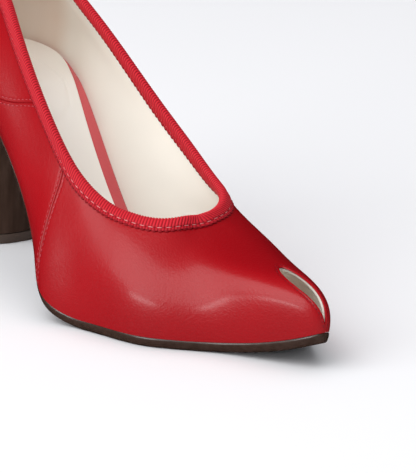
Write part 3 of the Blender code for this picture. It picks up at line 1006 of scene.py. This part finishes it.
class Recipe(Tree):
    """A Geometry Nodes tree with named inputs, one of them the material of its result."""

    def __init__(self, name: str, geometry: str, numbers: tuple[str, ...]) -> None:
        """Makes the tree with a geometry input, number inputs and a material input."""
        super().__init__(bpy.data.node_groups.new(name, "GeometryNodeTree"))
        kinds = {geometry: "Geometry", **dict.fromkeys(numbers, "Float"), "Material": "Material"}
        for label, kind in kinds.items():
            self.tree.interface.new_socket(label, in_out="INPUT", socket_type="NodeSocket" + kind)
        self.tree.interface.new_socket("Result", in_out="OUTPUT", socket_type="NodeSocketGeometry")
        self.given = self.add("NodeGroupInput").outputs

    def attribute(self, name: str, kind: str = "FLOAT") -> Socket:
        """A value that the geometry keeps at each point."""
        return self.add("GeometryNodeInputNamedAttribute", {"Name": name}, data_type=kind).outputs[0]

    def moved(self, geometry: Socket, direction: Socket, distance: Socket) -> Socket:
        """The geometry, moved in a direction by a distance."""
        step = self.add("ShaderNodeVectorMath", {0: direction, "Scale": distance}, operation="SCALE")
        values = {"Geometry": geometry, "Offset": step.outputs[0]}
        return self.add("GeometryNodeSetPosition", values).outputs[0]

    def end(self, geometry: Socket) -> None:
        """Ends the tree with real, smooth geometry in the material."""
        real = self.add("GeometryNodeRealizeInstances", {0: geometry}).outputs[0]
        soft = self.add("GeometryNodeSetShadeSmooth", {0: real}).outputs[0]
        values = {"Geometry": soft, "Material": self.given["Material"]}
        self.add("NodeGroupOutput", {0: self.add("GeometryNodeSetMaterial", values).outputs[0]})

    def apply(self, piece: Object, values: dict[str, object]) -> Object:
        """The piece as a plain mesh, after the tree with values by input name."""
        running = piece.modifiers.new(self.tree.name, "NODES")
        running.node_group = self.tree
        for item in self.tree.interface.items_tree:
            if item.name in values:
                running[item.identifier] = values[item.name]
        return settle(piece)


class StitchSize(NamedTuple):
    """A row's pitch, the size of each stitch and its lift off the line."""

    pitch: float
    length: float
    width: float
    height: float
    lift: float = 0.0


class StitchTree:
    """A Geometry Nodes tree that sews stitches along lines."""

    sizes = ("Pitch", "Length", "Width", "Height", "Lift")

    def __init__(self) -> None:
        """Builds the tree with its named inputs."""
        tree = self.recipe = Recipe("stitch_row", "Line", self.sizes)
        given = tree.given
        line = tree.add("GeometryNodeMeshToCurve", {0: given["Line"]}).outputs[0]
        spacing = {"Curve": line, "Length": given["Pitch"]}
        even = tree.add("GeometryNodeResampleCurve", spacing, mode="LENGTH").outputs[0]
        outward = tree.attribute("outward", "FLOAT_VECTOR")
        tangent = tree.add("GeometryNodeInputTangent").outputs[0]
        forward = tree.add("FunctionNodeAlignRotationToVector", {"Vector": tangent}, axis="X").outputs[0]
        turned = {"Rotation": forward, "Vector": outward}
        upright = tree.add("FunctionNodeAlignRotationToVector", turned, axis="Z", pivot_axis="X")
        ball = tree.add("GeometryNodeMeshUVSphere", {"Segments": 8, "Rings": 6, "Radius": 0.5})
        size = {0: given["Length"], 1: given["Width"], 2: given["Height"]}
        sewn = tree.add(
            "GeometryNodeInstanceOnPoints",
            {
                "Points": tree.moved(even, outward, given["Lift"]),
                "Instance": ball.outputs[0],
                "Rotation": upright.outputs[0],
                "Scale": tree.add("ShaderNodeCombineXYZ", size).outputs[0],
            },
        )
        tree.end(sewn.outputs[0])

    def sew(
        self, name: str, lines: list[tuple[np.ndarray, np.ndarray]], size: StitchSize, thread: Material
    ) -> Object:
        """Sews stitches along lines.

        Args:
            name: the piece's name.
            lines: each line's points and their outward directions.
            size: the stitches' sizes.
            thread: the material.

        Returns:
            One plain mesh with all the stitches.
        """
        points = np.vstack([line for line, _ in lines])
        outward = np.vstack([directions for _, directions in lines])
        starts = np.cumsum([len(line) for line, _ in lines]).tolist()
        edges = [(end - 1, end) for end in range(1, len(points)) if end not in starts]
        piece = add_mesh(name, points, [], attributes={"outward": outward}, edges=edges)
        return self.recipe.apply(piece, {**dict(zip(self.sizes, size)), "Material": thread})


class RibbonPoint(NamedTuple):
    """A point of the ribbon's leg, with its shares of the thickness and of the ribs' height."""

    from_edge: float
    thickness: float
    ribs: float


@dataclass
class CollarRibbon:
    """The ribbed ribbon folded over the collar's edge, with its picots and stitches."""

    last: Last
    finishes: Finishes
    depth: float = 0.0042
    thickness: float = 0.0005
    wall: float = 0.0018
    gap: float = 0.0001
    rib_pitch: float = 0.00116
    rib_height: float = 0.00034
    steps_per_rib: int = 8
    selvedge: float = 0.0013
    lean: float = 0.6
    fold_points: int = 7
    line_points: int = 900
    run_points: int = 2881
    coarse_points: int = 240
    picot_below: float = 0.0001
    picot_lift: float = 0.0002
    stitch_lift: float = 0.00035
    picot: StitchSize = StitchSize(0.0023, 0.0019, 0.0011, 0.0008)
    stitch: StitchSize = StitchSize(0.0034, 0.0021, 0.00042, 0.0004)
    leg_points: tuple[RibbonPoint, ...] = (
        RibbonPoint(0.0, 0.45, 0.7),
        RibbonPoint(0.0004, 0.45, 0.7),
        RibbonPoint(0.0010, 0.45, 0.7),
        RibbonPoint(0.0013, 0.15, 0.3),
        RibbonPoint(0.0017, 1.0, 1.0),
        RibbonPoint(0.0023, 1.0, 1.0),
        RibbonPoint(0.0029, 1.0, 1.0),
        RibbonPoint(0.0036, 1.0, 1.0),
    )

    @functools.cached_property
    def edge_run(self) -> tuple[np.ndarray, np.ndarray]:
        """Places round the shoe, and how far along the collar's edge each lies."""
        places = np.linspace(0.0, self.last.round, self.run_points)
        points = self.last.surface(places, np.ones_like(places))
        steps = np.linalg.norm(np.diff(points, axis=0), axis=1)
        return places, np.concatenate([[0.0], np.cumsum(steps)])

    def even_places(self, count: int) -> np.ndarray:
        """Places round the shoe that are evenly spaced along the collar's edge."""
        places, run = self.edge_run
        return np.interp(np.arange(count) * run[-1] / count, run, places)

    def leg(self, places: np.ndarray, below: float) -> tuple[np.ndarray, np.ndarray]:
        """The outside of the upper at a distance below the collar.

        Args:
            places: places round the shoe.
            below: the distance below the collar's edge.

        Returns:
            The points and the outward normals.
        """
        coarse = self.even_places(self.coarse_points)
        shares = self.last.below_collar(coarse, below)
        return self.last.frames(places, np.interp(places, coarse, shares, period=self.last.round))[:2]

    def build_band(self) -> Object:
        """The ribbon itself, a closed section swept round the collar with ribs across it."""
        count = self.steps_per_rib * int(round(self.edge_run[1][-1] / self.rib_pitch))
        places = self.even_places(count)
        legs = [self.leg(places, self.depth - point.from_edge) for point in self.leg_points]
        over = [self.gap + self.thickness * point.thickness for point in self.leg_points]
        ribs = [point.ribs for point in self.leg_points]
        edge, across, upward = self.last.frames(places, np.ones(count))
        middle = edge - across * self.wall / 2
        reach = self.wall / 2 + self.gap + self.thickness
        rings = [point + normal * lift for (point, normal), lift in zip(legs, over)]
        for turn in np.linspace(0.0, math.pi, self.fold_points):
            rings.append(middle + (across * math.cos(turn) + upward * math.sin(turn)) * reach)
        for (point, normal), lift in zip(legs[::-1], over[::-1]):
            rings.append(point - normal * (self.wall + lift))
        low, low_normal = legs[0]
        rings += [low - low_normal * self.wall, edge - across * self.wall, edge, low]
        relief = np.array(ribs + [1.0] * self.fold_points + ribs[::-1] + [0.0] * 4)
        grid = np.stack(rings, axis=1)
        height = np.broadcast_to(relief, grid.shape[:2])
        along = np.arange(count)[:, None] / self.steps_per_rib + np.linspace(0.0, self.lean, len(rings))
        faces = cells(closed(closed(numbered(height.shape)).T))
        kept = {"along": along, "relief": height}
        return self.raise_ribs(add_mesh("ribbon", grid, faces, self.finishes["red_ribbon"], attributes=kept))

    def raise_ribs(self, piece: Object) -> Object:
        """The band with its ribs raised by a Geometry Nodes tree, that keeps their height."""
        tree = Recipe("ribbon_ribs", "Band", ("Rib Height",))
        turn = tree.math("MULTIPLY", tree.attribute("along"), math.pi)
        wave = tree.math("POWER", tree.math("ABSOLUTE", tree.math("SINE", turn)), 0.7)
        height = tree.math("MULTIPLY", wave, tree.attribute("relief"))
        stored = {"Geometry": tree.given["Band"], "Name": "rib_height", "Value": height}
        kept = tree.add("GeometryNodeStoreNamedAttribute", stored, data_type="FLOAT", domain="POINT")
        normal = tree.add("GeometryNodeInputNormal").outputs[0]
        lift = tree.math("MULTIPLY", height, tree.given["Rib Height"])
        tree.end(tree.moved(kept.outputs[0], normal, lift))
        return tree.apply(piece, {"Rib Height": self.rib_height, "Material": self.finishes["red_ribbon"]})

    def edge_lines(self, below: float, lift: float) -> list[tuple[np.ndarray, np.ndarray]]:
        """The lines along the ribbon's outer and inner legs.

        Args:
            below: how far below the collar's edge.
            lift: how far over the upper's faces.

        Returns:
            The outer and the inner line, each with its outward directions.
        """
        point, normal = self.leg(np.append(self.even_places(self.line_points), 0.0), below)
        return [(point + normal * lift, normal), (point - normal * (self.wall + lift), -normal)]

    def build(self, stitches: StitchTree) -> None:
        """Makes the ribbon, its picots and the stitches that hold it."""
        assign(self.build_band(), Slot.RIBBON, "collar_binding")
        picot_lines = self.edge_lines(self.depth + self.picot_below, self.picot_lift)
        stitch_lines = self.edge_lines(self.depth - self.selvedge, self.stitch_lift)
        for name, lines, size, finish in (
            # The picots carry no rib height, so they take the ribbon's painted valley shade all over.
            ("ribbon_picots", picot_lines, self.picot, "red_ribbon"),
            ("ribbon_stitches", stitch_lines, self.stitch, "ribbon_thread"),
        ):
            assign(stitches.sew(name, lines, size, self.finishes[finish]), Slot.RIBBON)


@dataclass
class SeamStitching:
    """The rows of stitches beside the seams and round the slit."""

    last: Last
    slit: Slit
    finishes: Finishes
    stitch_line: float
    seam_from: float = 0.015
    seam_to: float = 0.93
    slit_aside: float = 0.00161
    slit_from: float = 0.035
    slit_over: float = 0.030
    hidden_points: int = 8
    seam_points: int = 80
    side_points: int = 60
    arc_points: int = 13
    seam: StitchSize = StitchSize(0.0020, 0.0013, 0.00035, 0.0003, -0.00008)
    # Sizes of the dark marks that paint shade into the stitch holes.
    hole: StitchSize = StitchSize(0.0020, 0.0005, 0.0005, 0.00012, -0.00009)
    rim: StitchSize = StitchSize(0.0017, 0.0011, 0.0004, 0.0003, -0.0001)

    def beside_seam(self, seam: Seam, side: float) -> tuple[np.ndarray, np.ndarray]:
        """A line beside a seam on the upper.

        Args:
            seam: the seam.
            side: minus one or one, the side that the line runs on.

        Returns:
            The line's points and their outward directions.
        """
        up = np.linspace(self.seam_from, self.seam_to, self.seam_points)
        point, normal, _ = self.last.frames(seam.place(self.last, up), up)
        aside = unit(np.cross(normal, unit(np.gradient(point, axis=0))))
        return point + aside * side * self.stitch_line, normal

    def round_slit(self) -> tuple[np.ndarray, np.ndarray]:
        """The line of stitches round the slit's rim, with its outward directions."""
        up = np.linspace(self.slit_from, self.slit.top, self.side_points)
        arc = np.linspace(0.0, math.pi, self.arc_points)[1:-1]
        middle = self.slit.place + self.slit.leaning(up)
        aside = self.slit.half_width(up) + self.slit_aside
        top_at = middle[-1] - self.slit_aside * np.cos(arc)
        at = np.concatenate([middle - aside, top_at, (middle + aside)[::-1]])
        heights = np.concatenate([up, self.slit.top + self.slit_over * np.sin(arc), up[::-1]])
        return self.last.frames(at, heights)[:2]

    def build(self, stitches: StitchTree) -> None:
        """Sews the seams and the slit's rim."""
        seams = (OUTER_REAR, OUTER_FRONT, INNER_FRONT, INNER_REAR)
        lines = [self.beside_seam(seam, side) for seam in seams for side in (-1.0, 1.0)]
        shifted = [(line[self.hidden_points :], outward[self.hidden_points :]) for line, outward in lines]
        for name, sewn, size, finish in (
            ("seam_stitches", lines, self.seam, "seam_thread"),
            # Dark marks of painted shade at the stitch holes.
            ("stitch_holes", shifted, self.hole, "stitch_hole"),
            # The slit's thread colour is darkened with painted shade.
            ("slit_stitches", [self.round_slit()], self.rim, "slit_thread"),
        ):
            assign(stitches.sew(name, sewn, size, self.finishes[finish]), Slot.UPPER)


@dataclass
class Bottom:
    """The outsole, the insole with its red cover, and the sock."""

    last: Last
    finishes: Finishes
    stations: int = 220
    clearance: float = 0.0003
    contact: float = 0.00005
    sole_thickness: float = 0.0035
    insole_thickness: float = 0.0020
    insole_inset: float = 0.0016
    sock_thickness: float = 0.0010
    sock_inset: float = 0.0027
    strip: float = 0.0052
    strip_from: float = 0.10
    strip_run: float = 0.40
    toe_shift: float = 0.02
    toe_from: float = 0.65
    toe_run: float = 0.2
    inner_from: float = -0.004
    inner_run: float = 0.016
    lines_across: int = 12
    pad_lines_across: int = 72
    pad_swell: float = 0.0005
    pad_middle: tuple[float, float] = (0.018, -0.007)
    pad_reach: tuple[float, float] = (0.0405, 0.0175)
    pad_squareness: float = 2.4
    pad_edge: float = 0.05
    groove: float = 0.7
    groove_width: float = 0.025

    def plate(
        self,
        name: str,
        profile: tuple[tuple[float, float], ...],
        finish: str,
        strip: float = 0.0,
        swell: float = 0.0,
    ) -> Object:
        """A plate that follows the feather line, with a shaped edge.

        Args:
            name: the piece's name.
            profile: the edge's inset and height over the feather line, from the top down.
            finish: the material's name.
            strip: how much narrower it is on the inner side.
            swell: how much the heel's pad stands up.

        Returns:
            The plate, a closed solid.
        """
        rings = []
        for inset, height in profile[::-1]:
            line = self.last.feather(inset, 2 * self.stations)
            line[:, 1] -= self.narrowing(line, strip)
            rings.append(np.column_stack([line, self.last.feather_height(line[:, 0]) + height]))
        points = np.vstack(rings)
        numbers = numbered((len(rings), 2 * self.stations))
        faces = cells(closed(numbers))
        points, faces = self.cap(points, faces, numbers[0], False, swell)
        points, faces = self.cap(points, faces, numbers[-1], True, swell)
        return add_mesh(name, points, faces, self.finishes[finish], Shading.CREASED)

    def narrowing(self, line: np.ndarray, strip: float) -> np.ndarray:
        """How much the inner side of an outline is drawn in, for the red strip."""
        along = (line[:, 0] - self.last.heel_back) / self.last.length
        way = smooth_step((along - self.strip_from) / self.strip_run)
        middle = self.toe_shift * smooth_step((along - self.toe_from) / self.toe_run)
        return strip * way * smooth_step((line[:, 1] - middle - self.inner_from) / self.inner_run)

    def cap(
        self, points: np.ndarray, faces: list[list[int]], ring: np.ndarray, over: bool, swell: float
    ) -> tuple[np.ndarray, list[list[int]]]:
        """Closes a ring with lines across it, so that the face follows the shank's curve.

        Args:
            points: the points so far.
            faces: the faces so far.
            ring: the numbers of the ring's points.
            over: True for the upper face.
            swell: how much the heel's pad stands up.

        Returns:
            The points and faces with the cap's added.
        """
        half = len(ring) // 2
        across = self.pad_lines_across if swell > 0.0 else self.lines_across
        near, far = ring[1:half], ring[:half:-1]
        shares = np.arange(1, across)[:, None] / across
        added = points[near][:, None] + (points[far] - points[near])[:, None] * shares
        table = np.column_stack([near, len(points) + numbered(added.shape[:2]), far])
        made = cells(table.T)
        first, final = table[[0, -1]].tolist()
        start, end = ring[[0, half]].tolist()
        for step in range(across):
            made.append([start, first[step], first[step + 1]])
            made.append([final[step], end, final[step + 1]])
        if not over:
            made = [face[::-1] for face in made]
        added = added.reshape(-1, 3)
        if over and swell > 0.0:
            added[:, 2] += swell * self.pad(added)
        return np.vstack([points, added]), faces + made

    def pad(self, points: np.ndarray) -> np.ndarray:
        """How far up the heel's pad stands at each point, as a share, with a groove round it."""
        reached = np.abs(points[:, :2] - self.pad_middle) / self.pad_reach
        away = (reached**self.pad_squareness).sum(axis=1) ** (1 / self.pad_squareness)
        groove = self.groove * np.exp(-(((away - 1.0) / self.groove_width) ** 2))
        return smooth_step((1.0 - away) / self.pad_edge) - groove

    def build(self) -> None:
        """Makes the three plates."""
        top = -self.contact
        foot = -self.clearance - self.sole_thickness
        sole_edge = (
            (0.0016, top),
            (0.0006, top),
            (0.00025, top - 0.0001),
            (0.0, top - 0.0006),
            (0.0001, top - 0.0016),
            (0.0004, top - 0.0026),
            (0.0008, foot + 0.0003),
            (0.0013, foot),
        )
        inset = self.insole_inset
        insole_edge = (
            (inset + 0.0010, self.insole_thickness),
            (inset + 0.0003, self.insole_thickness - 0.0001),
            (inset, self.insole_thickness - 0.0005),
            (inset, 0.0004),
            (inset + 0.0004, 0.0),
        )
        sock_top = self.insole_thickness + self.clearance + self.sock_thickness
        sock_edge = (
            (self.sock_inset + 0.0008, sock_top),
            (self.sock_inset + 0.0002, sock_top - 0.0001),
            (self.sock_inset, sock_top - 0.0004),
            (self.sock_inset, sock_top - self.sock_thickness),
        )
        sole = self.plate("outsole_leather", sole_edge, "brown_sole")
        assign(sole, Slot.SOLE, "outsole")
        cover = self.plate("insole_cover", insole_edge, "red_insole_cover")
        assign(cover, Slot.INSOLE, "insole")
        sock = self.plate("sock_leather", sock_edge, "cream_sock", self.strip, self.pad_swell)
        assign(sock, Slot.SOCK, "sock")


@dataclass
class Heel:
    """The block heel and its top piece."""

    last: Last
    finishes: Finishes
    length: float = 0.036
    width: float = 0.035
    inset: float = 0.0008
    sole_draw: float = 0.0010
    squareness: float = 2.5
    breast_at: float = 0.215
    top_piece: float = 0.0040
    clearance: float = 0.0003
    points: int = 160
    rows: int = 48
    outline_points: int = 1440
    breast_overrun: float = 0.002
    smoothings: int = 6
    downs: tuple[float, ...] = (0.00, 0.10, 0.24, 0.42, 0.66, 1.00)
    narrowed: tuple[float, ...] = (0.00, 0.30, 0.58, 0.80, 0.94, 1.00)
    lift_edge: tuple[tuple[float, float], ...] = (
        (0.0006, 0.0), (0.0002, 0.0001), (0.0, 0.0005), (0.0, 0.0036), (0.0002, 0.0039), (0.0006, 0.0040)
    )

    @property
    def angles(self) -> np.ndarray:
        """The bearings of the points round the heel."""
        return np.linspace(0.0, 2 * math.pi, self.points, endpoint=False)

    def floor_line(self, inset: float = 0.0) -> np.ndarray:
        """The heel's outline on the floor, a rounded rectangle."""
        turns = np.stack([np.cos(self.angles), np.sin(self.angles)], axis=1)
        half = np.array([self.length / 2 - inset, self.width / 2 - inset])
        return np.sign(turns) * np.abs(turns) ** (2.0 / self.squareness) * half

    def seat_line(self) -> np.ndarray:
        """The heel's outline under the seat, cut straight at the breast."""
        line = self.last.feather(self.sole_draw + self.inset, self.outline_points)
        breast = self.last.heel_back + self.breast_at * self.last.length
        middle = np.array([(line[:, 0].min() + breast) / 2, 0.0])
        rim = line - middle
        rim = rim[rim[:, 0] < breast - middle[0] + self.breast_overrun]
        bearing = np.mod(np.arctan2(rim[:, 1], rim[:, 0]), 2 * math.pi)
        order = np.argsort(bearing)
        reach = np.linalg.norm(rim, axis=1)[order]
        found = np.interp(self.angles, bearing[order], reach, period=2 * math.pi)
        front = (breast - middle[0]) / np.maximum(np.cos(self.angles), 0.001)
        turns = np.stack([np.cos(self.angles), np.sin(self.angles)], axis=1)
        return middle + turns * np.minimum(found, front)[:, None]

    def loft(self, name: str, rings: list[np.ndarray], finish: str) -> Object:
        """A solid from level rings, the lowest first, with flat ends."""
        numbers = numbered((len(rings), self.points))
        faces = cells(closed(numbers)) + [numbers[0, ::-1].tolist(), numbers[-1].tolist()]
        return add_mesh(name, np.array(rings), faces, self.finishes[finish], Shading.CREASED)

    def build_block(self) -> Object:
        """The block, lofted from the seat down to the top piece."""
        seat = self.seat_line()
        floor = self.floor_line()
        foot = self.top_piece + self.clearance
        downs = np.linspace(0.0, 1.0, self.rows)
        narrowed = np.interp(downs, self.downs, self.narrowed)
        for _ in range(self.smoothings):
            narrowed[1:-1] = (narrowed[:-2] + 2 * narrowed[1:-1] + narrowed[2:]) / 4
        rings = []
        for down, share in zip(downs[::-1], narrowed[::-1]):
            ring = seat + (floor - seat) * share
            head = self.last.feather_height(ring[:, 0]) - self.last.sole_stack - self.clearance
            rings.append(np.column_stack([ring, head + (foot - head) * down]))
        return self.loft("heel_block", rings, "brown_heel")

    def build(self) -> None:
        """Makes the heel and its top piece, with the top piece's edges softened."""
        assign(self.build_block(), Slot.HEEL, "heel")
        rings = [np.insert(self.floor_line(inset), 2, height, axis=1) for inset, height in self.lift_edge]
        assign(self.loft("heel_lift", rings, "brown_lift"), Slot.TOP_PIECE, "top_piece")


@dataclass(frozen=True)
class SoftLight:
    """One soft studio light, aimed at a point."""

    name: str
    place: tuple[float, float, float]
    target: tuple[float, float, float]
    size: tuple[float, float]
    watts: float
    mirrored: bool = True

    def build(self) -> None:
        """Adds the light to the scene."""
        data = bpy.data.lights.new(self.name, "AREA")
        data.shape = "RECTANGLE"
        data.size, data.size_y = self.size
        data.energy = self.watts
        light = add_object(self.name, data)
        light.visible_glossy = self.mirrored
        aim(light, self.place, Vector(self.target) - Vector(self.place))


def aim(thing: Object, place: tuple[float, float, float], looking: Vector) -> None:
    """Puts a light or a camera in its place and turns it to look in a direction."""
    thing.location = place
    thing.rotation_mode = "QUATERNION"
    thing.rotation_quaternion = looking.to_track_quat("-Z", "Y")


@dataclass
class Studio:
    """The floor, the lights and the camera."""

    camera_place: tuple[float, float, float] = (1.0237, -0.5401, 0.3426)
    heading: float = 147.97
    tilt: float = 16.64
    focal_pixels: float = 2944.9
    sensor: float = 36.0
    floor_reach: float = 4.0
    floor_drop: float = 0.0001
    floor_colour: Colour = (0.90, 0.90, 0.915)
    sky_colour: Colour = (0.95, 0.96, 1.0)
    sky_strength: float = 0.40
    lights: tuple[SoftLight, ...] = (
        SoftLight("key", (0.25, -1.90, 1.81), (0.12, 0.0, 0.04), (2.6, 2.5), 45.0),
        SoftLight("overhead", (0.10, 0.0, 2.2), (0.10, 0.0, 0.0), (2.4, 2.4), 24.0, mirrored=False),
        SoftLight("low_strip", (0.36, -1.45, 0.27), (0.20, 0.0, 0.04), (0.70, 0.16), 3.6),
    )

    def build_camera(self) -> None:
        """The camera at the photograph's angle."""
        data = bpy.data.cameras.new("camera")
        data.sensor_width = self.sensor
        data.lens = self.focal_pixels * self.sensor / max(IMAGE_WIDTH, IMAGE_HEIGHT)
        data.clip_start = 0.05
        data.clip_end = 20.0
        heading, tilt = math.radians(self.heading), math.radians(self.tilt)
        level = math.cos(tilt)
        camera = add_object("camera", data)
        looking = Vector((math.cos(heading) * level, math.sin(heading) * level, -math.sin(tilt)))
        aim(camera, self.camera_place, looking)
        bpy.context.scene.camera = camera

    def build_floor(self) -> None:
        """A plain pale floor."""
        shader = Shader("studio_floor", self.floor_colour)
        values = {"Base Color": self.floor_colour, "Roughness": 0.9, "Specular IOR Level": 0.1}
        corners = np.array([(-1.0, -1.0, 0.0), (1.0, -1.0, 0.0), (1.0, 1.0, 0.0), (-1.0, 1.0, 0.0)])
        points = corners * self.floor_reach - UPWARDS * self.floor_drop
        floor = add_mesh("floor", points, [[0, 1, 2, 3]], shader.dress(values))
        floor.visible_glossy = False

    def build(self) -> None:
        """Sets up the floor, the lights, the world and the camera."""
        self.build_floor()
        for light in self.lights:
            light.build()
        world = bpy.data.worlds.new("studio")
        world.use_nodes = True
        background = world.node_tree.nodes["Background"]
        background.inputs["Color"].default_value = (*self.sky_colour, 1.0)
        background.inputs["Strength"].default_value = self.sky_strength
        world.cycles_visibility.glossy = False
        bpy.context.scene.world = world
        bpy.context.scene.view_settings.view_transform = "Standard"
        self.build_camera()


def main() -> None:
    """Builds the shoe round the frame, piece by piece."""
    logging.basicConfig(level=logging.INFO, format="%(name)s: %(message)s")
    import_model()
    finishes = make_finishes()
    last = Last()
    slit = Slit(last)
    before = set(bpy.context.scene.objects)
    upper = Upper(last, slit, finishes)
    upper.build()
    stitches = StitchTree()
    CollarRibbon(last, finishes).build(stitches)
    SeamStitching(last, slit, finishes, upper.stitch_line).build(stitches)
    Bottom(last, finishes).build()
    Heel(last, finishes).build()
    for piece in sorted(set(bpy.context.scene.objects) - before, key=lambda made: made.name):
        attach(piece, "root")
        log.info("%s: %d faces", piece.name, len(piece.data.polygons))
    Studio().build()


if __name__ == "__main__":
    main()
